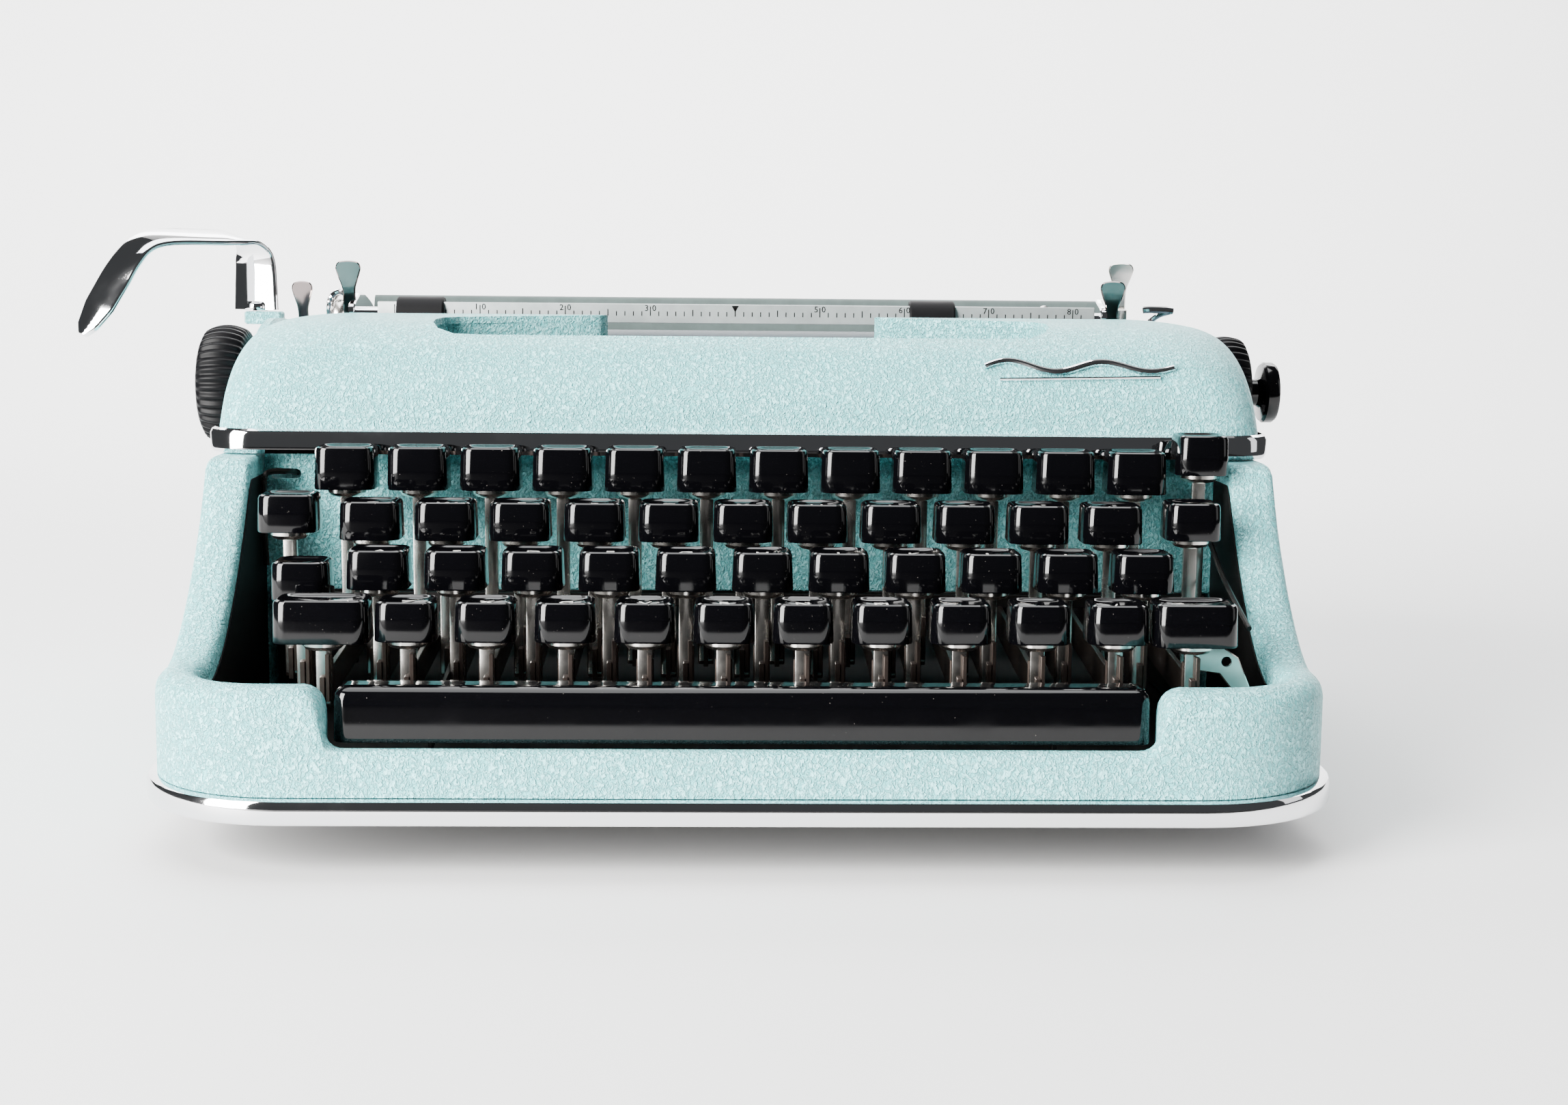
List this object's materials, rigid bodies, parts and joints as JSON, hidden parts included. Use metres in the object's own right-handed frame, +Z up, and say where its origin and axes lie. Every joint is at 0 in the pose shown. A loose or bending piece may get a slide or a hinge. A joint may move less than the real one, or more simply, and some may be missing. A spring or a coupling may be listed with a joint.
{
  "type": "typewriter",
  "caption": "Portable manual typewriter with a painted casing, lift-off ribbon cover, sprung keys on levers and a sliding carriage that lifts with shift.",
  "frame": {"origin": "middle of the whole object's footprint, on the surface it stands on", "axes": "+Z up, +X to the typist's right, +Y from the keyboard towards the carriage at the rear"},
  "size_m": [0.3743, 0.3014, 0.1481],
  "materials": {
    "paint": "wrinkle enamel, pale sea green",
    "frame_steel": "dark bronzed steel",
    "chrome": "bright polished",
    "key_plastic": "gloss black",
    "platen_rubber": "matt black"
  },
  "bodies": {
    "frame": {"chassis": "frame_steel", "body_shell": "paint"},
    "ribbon_cover": {"ribbon_cover": "paint"},
    "carriage_rail": {"carriage_rail": "frame_steel"},
    "carriage": {"carriage": "paint"},
    "platen": {"platen": "platen_rubber"},
    "paper_bail": {"paper_bail": "chrome"},
    "return_lever": {"return_lever": "chrome"},
    "carriage_release_lever": {"carriage_release_lever": "chrome"},
    "paper_release_lever": {"paper_release_lever": "chrome"},
    "space_bar": {"space_bar": "key_plastic"},
    "shift_keys": {"shift_keys": "key_plastic"},
    "number_key_1": {"number_key_1": "key_plastic"},
    "number_key_2": {"number_key_2": "key_plastic"},
    "number_key_3": {"number_key_3": "key_plastic"},
    "number_key_4": {"number_key_4": "key_plastic"},
    "number_key_5": {"number_key_5": "key_plastic"},
    "number_key_6": {"number_key_6": "key_plastic"},
    "number_key_7": {"number_key_7": "key_plastic"},
    "number_key_8": {"number_key_8": "key_plastic"},
    "number_key_9": {"number_key_9": "key_plastic"},
    "number_key_10": {"number_key_10": "key_plastic"},
    "number_key_11": {"number_key_11": "key_plastic"},
    "number_key_12": {"number_key_12": "key_plastic"},
    "upper_key_1": {"upper_key_1": "key_plastic"},
    "upper_key_2": {"upper_key_2": "key_plastic"},
    "upper_key_3": {"upper_key_3": "key_plastic"},
    "upper_key_4": {"upper_key_4": "key_plastic"},
    "upper_key_5": {"upper_key_5": "key_plastic"},
    "upper_key_6": {"upper_key_6": "key_plastic"},
    "upper_key_7": {"upper_key_7": "key_plastic"},
    "upper_key_8": {"upper_key_8": "key_plastic"},
    "upper_key_9": {"upper_key_9": "key_plastic"},
    "upper_key_10": {"upper_key_10": "key_plastic"},
    "upper_key_11": {"upper_key_11": "key_plastic"},
    "home_key_1": {"home_key_1": "key_plastic"},
    "home_key_2": {"home_key_2": "key_plastic"},
    "home_key_3": {"home_key_3": "key_plastic"},
    "home_key_4": {"home_key_4": "key_plastic"},
    "home_key_5": {"home_key_5": "key_plastic"},
    "home_key_6": {"home_key_6": "key_plastic"},
    "home_key_7": {"home_key_7": "key_plastic"},
    "home_key_8": {"home_key_8": "key_plastic"},
    "home_key_9": {"home_key_9": "key_plastic"},
    "home_key_10": {"home_key_10": "key_plastic"},
    "home_key_11": {"home_key_11": "key_plastic"},
    "lower_key_1": {"lower_key_1": "key_plastic"},
    "lower_key_2": {"lower_key_2": "key_plastic"},
    "lower_key_3": {"lower_key_3": "key_plastic"},
    "lower_key_4": {"lower_key_4": "key_plastic"},
    "lower_key_5": {"lower_key_5": "key_plastic"},
    "lower_key_6": {"lower_key_6": "key_plastic"},
    "lower_key_7": {"lower_key_7": "key_plastic"},
    "lower_key_8": {"lower_key_8": "key_plastic"},
    "lower_key_9": {"lower_key_9": "key_plastic"},
    "lower_key_10": {"lower_key_10": "key_plastic"},
    "margin_release_key": {"margin_release_key": "key_plastic"},
    "shift_lock_key": {"shift_lock_key": "key_plastic"},
    "tabulator_key": {"tabulator_key": "key_plastic"},
    "backspace_key": {"backspace_key": "key_plastic"}
  },
  "joints": [
    {"name": "number_key_1_press", "type": "hinge", "parent": "frame", "child": "number_key_1", "pos_m": [-0.08628, 0.0493, 0.055], "axis": [1, 0, 0], "range_deg": [0, 6.22], "stiffness_Nm_per_rad": 0.6, "springref_deg": -6.88},
    {"name": "number_key_2_press", "type": "hinge", "parent": "frame", "child": "number_key_2", "pos_m": [-0.06728, 0.0493, 0.055], "axis": [1, 0, 0], "range_deg": [0, 6.22], "stiffness_Nm_per_rad": 0.6, "springref_deg": -6.88},
    {"name": "number_key_3_press", "type": "hinge", "parent": "frame", "child": "number_key_3", "pos_m": [-0.04828, 0.0493, 0.055], "axis": [1, 0, 0], "range_deg": [0, 6.22], "stiffness_Nm_per_rad": 0.6, "springref_deg": -6.88},
    {"name": "number_key_4_press", "type": "hinge", "parent": "frame", "child": "number_key_4", "pos_m": [-0.02928, 0.0493, 0.055], "axis": [1, 0, 0], "range_deg": [0, 6.22], "stiffness_Nm_per_rad": 0.6, "springref_deg": -6.88},
    {"name": "number_key_5_press", "type": "hinge", "parent": "frame", "child": "number_key_5", "pos_m": [-0.01028, 0.0493, 0.055], "axis": [1, 0, 0], "range_deg": [0, 6.22], "stiffness_Nm_per_rad": 0.6, "springref_deg": -6.88},
    {"name": "number_key_6_press", "type": "hinge", "parent": "frame", "child": "number_key_6", "pos_m": [0.00872, 0.0493, 0.055], "axis": [1, 0, 0], "range_deg": [0, 6.22], "stiffness_Nm_per_rad": 0.6, "springref_deg": -6.88},
    {"name": "number_key_7_press", "type": "hinge", "parent": "frame", "child": "number_key_7", "pos_m": [0.02772, 0.0493, 0.055], "axis": [1, 0, 0], "range_deg": [0, 6.22], "stiffness_Nm_per_rad": 0.6, "springref_deg": -6.88},
    {"name": "number_key_8_press", "type": "hinge", "parent": "frame", "child": "number_key_8", "pos_m": [0.04672, 0.0493, 0.055], "axis": [1, 0, 0], "range_deg": [0, 6.22], "stiffness_Nm_per_rad": 0.6, "springref_deg": -6.88},
    {"name": "number_key_9_press", "type": "hinge", "parent": "frame", "child": "number_key_9", "pos_m": [0.06572, 0.0493, 0.055], "axis": [1, 0, 0], "range_deg": [0, 6.22], "stiffness_Nm_per_rad": 0.6, "springref_deg": -6.88},
    {"name": "number_key_10_press", "type": "hinge", "parent": "frame", "child": "number_key_10", "pos_m": [0.08472, 0.0493, 0.055], "axis": [1, 0, 0], "range_deg": [0, 6.22], "stiffness_Nm_per_rad": 0.6, "springref_deg": -6.88},
    {"name": "number_key_11_press", "type": "hinge", "parent": "frame", "child": "number_key_11", "pos_m": [0.10372, 0.0493, 0.055], "axis": [1, 0, 0], "range_deg": [0, 6.22], "stiffness_Nm_per_rad": 0.6, "springref_deg": -6.88},
    {"name": "number_key_12_press", "type": "hinge", "parent": "frame", "child": "number_key_12", "pos_m": [0.12272, 0.0493, 0.055], "axis": [1, 0, 0], "range_deg": [0, 6.22], "stiffness_Nm_per_rad": 0.6, "springref_deg": -6.88},
    {"name": "upper_key_1_press", "type": "hinge", "parent": "frame", "child": "upper_key_1", "pos_m": [-0.07678, 0.0493, 0.055], "axis": [1, 0, 0], "range_deg": [0, 5.31], "stiffness_Nm_per_rad": 0.6, "springref_deg": -6.88},
    {"name": "upper_key_2_press", "type": "hinge", "parent": "frame", "child": "upper_key_2", "pos_m": [-0.05778, 0.0493, 0.055], "axis": [1, 0, 0], "range_deg": [0, 5.31], "stiffness_Nm_per_rad": 0.6, "springref_deg": -6.88},
    {"name": "upper_key_3_press", "type": "hinge", "parent": "frame", "child": "upper_key_3", "pos_m": [-0.03878, 0.0493, 0.055], "axis": [1, 0, 0], "range_deg": [0, 5.31], "stiffness_Nm_per_rad": 0.6, "springref_deg": -6.88},
    {"name": "upper_key_4_press", "type": "hinge", "parent": "frame", "child": "upper_key_4", "pos_m": [-0.01978, 0.0493, 0.055], "axis": [1, 0, 0], "range_deg": [0, 5.31], "stiffness_Nm_per_rad": 0.6, "springref_deg": -6.88},
    {"name": "upper_key_5_press", "type": "hinge", "parent": "frame", "child": "upper_key_5", "pos_m": [-0.00078, 0.0493, 0.055], "axis": [1, 0, 0], "range_deg": [0, 5.31], "stiffness_Nm_per_rad": 0.6, "springref_deg": -6.88},
    {"name": "upper_key_6_press", "type": "hinge", "parent": "frame", "child": "upper_key_6", "pos_m": [0.01822, 0.0493, 0.055], "axis": [1, 0, 0], "range_deg": [0, 5.31], "stiffness_Nm_per_rad": 0.6, "springref_deg": -6.88},
    {"name": "upper_key_7_press", "type": "hinge", "parent": "frame", "child": "upper_key_7", "pos_m": [0.03722, 0.0493, 0.055], "axis": [1, 0, 0], "range_deg": [0, 5.31], "stiffness_Nm_per_rad": 0.6, "springref_deg": -6.88},
    {"name": "upper_key_8_press", "type": "hinge", "parent": "frame", "child": "upper_key_8", "pos_m": [0.05622, 0.0493, 0.055], "axis": [1, 0, 0], "range_deg": [0, 5.31], "stiffness_Nm_per_rad": 0.6, "springref_deg": -6.88},
    {"name": "upper_key_9_press", "type": "hinge", "parent": "frame", "child": "upper_key_9", "pos_m": [0.07522, 0.0493, 0.055], "axis": [1, 0, 0], "range_deg": [0, 5.31], "stiffness_Nm_per_rad": 0.6, "springref_deg": -6.88},
    {"name": "upper_key_10_press", "type": "hinge", "parent": "frame", "child": "upper_key_10", "pos_m": [0.09422, 0.0493, 0.055], "axis": [1, 0, 0], "range_deg": [0, 5.31], "stiffness_Nm_per_rad": 0.6, "springref_deg": -6.88},
    {"name": "upper_key_11_press", "type": "hinge", "parent": "frame", "child": "upper_key_11", "pos_m": [0.11322, 0.0493, 0.055], "axis": [1, 0, 0], "range_deg": [0, 5.31], "stiffness_Nm_per_rad": 0.6, "springref_deg": -6.88},
    {"name": "home_key_1_press", "type": "hinge", "parent": "frame", "child": "home_key_1", "pos_m": [-0.07203, 0.0493, 0.055], "axis": [1, 0, 0], "range_deg": [0, 4.63], "stiffness_Nm_per_rad": 0.6, "springref_deg": -6.88},
    {"name": "home_key_2_press", "type": "hinge", "parent": "frame", "child": "home_key_2", "pos_m": [-0.05303, 0.0493, 0.055], "axis": [1, 0, 0], "range_deg": [0, 4.63], "stiffness_Nm_per_rad": 0.6, "springref_deg": -6.88},
    {"name": "home_key_3_press", "type": "hinge", "parent": "frame", "child": "home_key_3", "pos_m": [-0.03403, 0.0493, 0.055], "axis": [1, 0, 0], "range_deg": [0, 4.63], "stiffness_Nm_per_rad": 0.6, "springref_deg": -6.88},
    {"name": "home_key_4_press", "type": "hinge", "parent": "frame", "child": "home_key_4", "pos_m": [-0.01503, 0.0493, 0.055], "axis": [1, 0, 0], "range_deg": [0, 4.63], "stiffness_Nm_per_rad": 0.6, "springref_deg": -6.88},
    {"name": "home_key_5_press", "type": "hinge", "parent": "frame", "child": "home_key_5", "pos_m": [0.00397, 0.0493, 0.055], "axis": [1, 0, 0], "range_deg": [0, 4.63], "stiffness_Nm_per_rad": 0.6, "springref_deg": -6.88},
    {"name": "home_key_6_press", "type": "hinge", "parent": "frame", "child": "home_key_6", "pos_m": [0.02297, 0.0493, 0.055], "axis": [1, 0, 0], "range_deg": [0, 4.63], "stiffness_Nm_per_rad": 0.6, "springref_deg": -6.88},
    {"name": "home_key_7_press", "type": "hinge", "parent": "frame", "child": "home_key_7", "pos_m": [0.04197, 0.0493, 0.055], "axis": [1, 0, 0], "range_deg": [0, 4.63], "stiffness_Nm_per_rad": 0.6, "springref_deg": -6.88},
    {"name": "home_key_8_press", "type": "hinge", "parent": "frame", "child": "home_key_8", "pos_m": [0.06097, 0.0493, 0.055], "axis": [1, 0, 0], "range_deg": [0, 4.63], "stiffness_Nm_per_rad": 0.6, "springref_deg": -6.88},
    {"name": "home_key_9_press", "type": "hinge", "parent": "frame", "child": "home_key_9", "pos_m": [0.07997, 0.0493, 0.055], "axis": [1, 0, 0], "range_deg": [0, 4.63], "stiffness_Nm_per_rad": 0.6, "springref_deg": -6.88},
    {"name": "home_key_10_press", "type": "hinge", "parent": "frame", "child": "home_key_10", "pos_m": [0.09897, 0.0493, 0.055], "axis": [1, 0, 0], "range_deg": [0, 4.63], "stiffness_Nm_per_rad": 0.6, "springref_deg": -6.88},
    {"name": "home_key_11_press", "type": "hinge", "parent": "frame", "child": "home_key_11", "pos_m": [0.11797, 0.0493, 0.055], "axis": [1, 0, 0], "range_deg": [0, 4.63], "stiffness_Nm_per_rad": 0.6, "springref_deg": -6.88},
    {"name": "lower_key_1_press", "type": "hinge", "parent": "frame", "child": "lower_key_1", "pos_m": [-0.06253, 0.0493, 0.055], "axis": [1, 0, 0], "range_deg": [0, 4.1], "stiffness_Nm_per_rad": 0.6, "springref_deg": -6.88},
    {"name": "lower_key_2_press", "type": "hinge", "parent": "frame", "child": "lower_key_2", "pos_m": [-0.04353, 0.0493, 0.055], "axis": [1, 0, 0], "range_deg": [0, 4.1], "stiffness_Nm_per_rad": 0.6, "springref_deg": -6.88},
    {"name": "lower_key_3_press", "type": "hinge", "parent": "frame", "child": "lower_key_3", "pos_m": [-0.02453, 0.0493, 0.055], "axis": [1, 0, 0], "range_deg": [0, 4.1], "stiffness_Nm_per_rad": 0.6, "springref_deg": -6.88},
    {"name": "lower_key_4_press", "type": "hinge", "parent": "frame", "child": "lower_key_4", "pos_m": [-0.00553, 0.0493, 0.055], "axis": [1, 0, 0], "range_deg": [0, 4.1], "stiffness_Nm_per_rad": 0.6, "springref_deg": -6.88},
    {"name": "lower_key_5_press", "type": "hinge", "parent": "frame", "child": "lower_key_5", "pos_m": [0.01347, 0.0493, 0.055], "axis": [1, 0, 0], "range_deg": [0, 4.1], "stiffness_Nm_per_rad": 0.6, "springref_deg": -6.88},
    {"name": "lower_key_6_press", "type": "hinge", "parent": "frame", "child": "lower_key_6", "pos_m": [0.03247, 0.0493, 0.055], "axis": [1, 0, 0], "range_deg": [0, 4.1], "stiffness_Nm_per_rad": 0.6, "springref_deg": -6.88},
    {"name": "lower_key_7_press", "type": "hinge", "parent": "frame", "child": "lower_key_7", "pos_m": [0.05147, 0.0493, 0.055], "axis": [1, 0, 0], "range_deg": [0, 4.1], "stiffness_Nm_per_rad": 0.6, "springref_deg": -6.88},
    {"name": "lower_key_8_press", "type": "hinge", "parent": "frame", "child": "lower_key_8", "pos_m": [0.07047, 0.0493, 0.055], "axis": [1, 0, 0], "range_deg": [0, 4.1], "stiffness_Nm_per_rad": 0.6, "springref_deg": -6.88},
    {"name": "lower_key_9_press", "type": "hinge", "parent": "frame", "child": "lower_key_9", "pos_m": [0.08947, 0.0493, 0.055], "axis": [1, 0, 0], "range_deg": [0, 4.1], "stiffness_Nm_per_rad": 0.6, "springref_deg": -6.88},
    {"name": "lower_key_10_press", "type": "hinge", "parent": "frame", "child": "lower_key_10", "pos_m": [0.10847, 0.0493, 0.055], "axis": [1, 0, 0], "range_deg": [0, 4.1], "stiffness_Nm_per_rad": 0.6, "springref_deg": -6.88},
    {"name": "margin_release_key_press", "type": "hinge", "parent": "frame", "child": "margin_release_key", "pos_m": [-0.09768, 0.0493, 0.055], "axis": [1, 0, 0], "range_deg": [0, 4.42], "stiffness_Nm_per_rad": 0.6, "springref_deg": -6.88},
    {"name": "shift_lock_key_press", "type": "hinge", "parent": "frame", "child": "shift_lock_key", "pos_m": [-0.09103, 0.0493, 0.055], "axis": [1, 0, 0], "range_deg": [0, 3.85], "stiffness_Nm_per_rad": 0.6, "springref_deg": -6.88},
    {"name": "tabulator_key_press", "type": "hinge", "parent": "frame", "child": "tabulator_key", "pos_m": [0.13412, 0.0493, 0.055], "axis": [1, 0, 0], "range_deg": [0, 4.42], "stiffness_Nm_per_rad": 0.6, "springref_deg": -6.88},
    {"name": "backspace_key_press", "type": "hinge", "parent": "frame", "child": "backspace_key", "pos_m": [0.13982, 0.0493, 0.055], "axis": [1, 0, 0], "range_deg": [0, 5.13], "stiffness_Nm_per_rad": 0.6, "springref_deg": -6.88},
    {"name": "space_bar_press", "type": "hinge", "parent": "frame", "child": "space_bar", "pos_m": [0.01822, 0.0493, 0.055], "axis": [1, 0, 0], "range_deg": [0, 2.32], "stiffness_Nm_per_rad": 1.2, "springref_deg": -6.88},
    {"name": "shift_keys_press", "type": "hinge", "parent": "frame", "child": "shift_keys", "pos_m": [0.02272, 0.0493, 0.055], "axis": [1, 0, 0], "range_deg": [0, 3.96]},
    {"name": "ribbon_cover_lift", "type": "slide", "parent": "frame", "child": "ribbon_cover", "axis": [0, 0, 1], "range_m": [0, 0.05]},
    {"name": "carriage_shift_lift", "type": "slide", "parent": "frame", "child": "carriage_rail", "axis": [0, 0, 1], "range_m": [0, 0.0065]},
    {"name": "carriage_travel", "type": "slide", "parent": "carriage_rail", "child": "carriage", "axis": [1, 0, 0], "range_m": [-0.11, 0.11]},
    {"name": "platen_turn", "type": "hinge", "parent": "carriage", "child": "platen", "pos_m": [0.01822, 0.0443, 0.102], "axis": [1, 0, 0], "continuous": true},
    {"name": "paper_bail_swing", "type": "hinge", "parent": "carriage", "child": "paper_bail", "pos_m": [0.01822, 0.0673, 0.124], "axis": [-1, 0, 0], "range_deg": [0, 50]},
    {"name": "return_lever_swing", "type": "hinge", "parent": "carriage", "child": "return_lever", "pos_m": [-0.13743, 0.0713, 0.1243], "axis": [0, 0, 1], "range_deg": [0, 16], "stiffness_Nm_per_rad": 0.3, "springref_deg": -5.73},
    {"name": "carriage_release_press", "type": "hinge", "parent": "carriage", "child": "carriage_release_lever", "pos_m": [-0.12193, 0.0668, 0.112], "axis": [1, 0, 0], "range_deg": [-18, 0], "stiffness_Nm_per_rad": 0.05, "springref_deg": 5.73},
    {"name": "paper_release_pull", "type": "hinge", "parent": "carriage", "child": "paper_release_lever", "pos_m": [0.14282, 0.0763, 0.112], "axis": [1, 0, 0], "range_deg": [0, 30]}
  ],
  "couplings": [
    {"joint": "shift_keys_press", "follows": "carriage_shift_lift", "rad_per_m": 10.492}
  ]
}
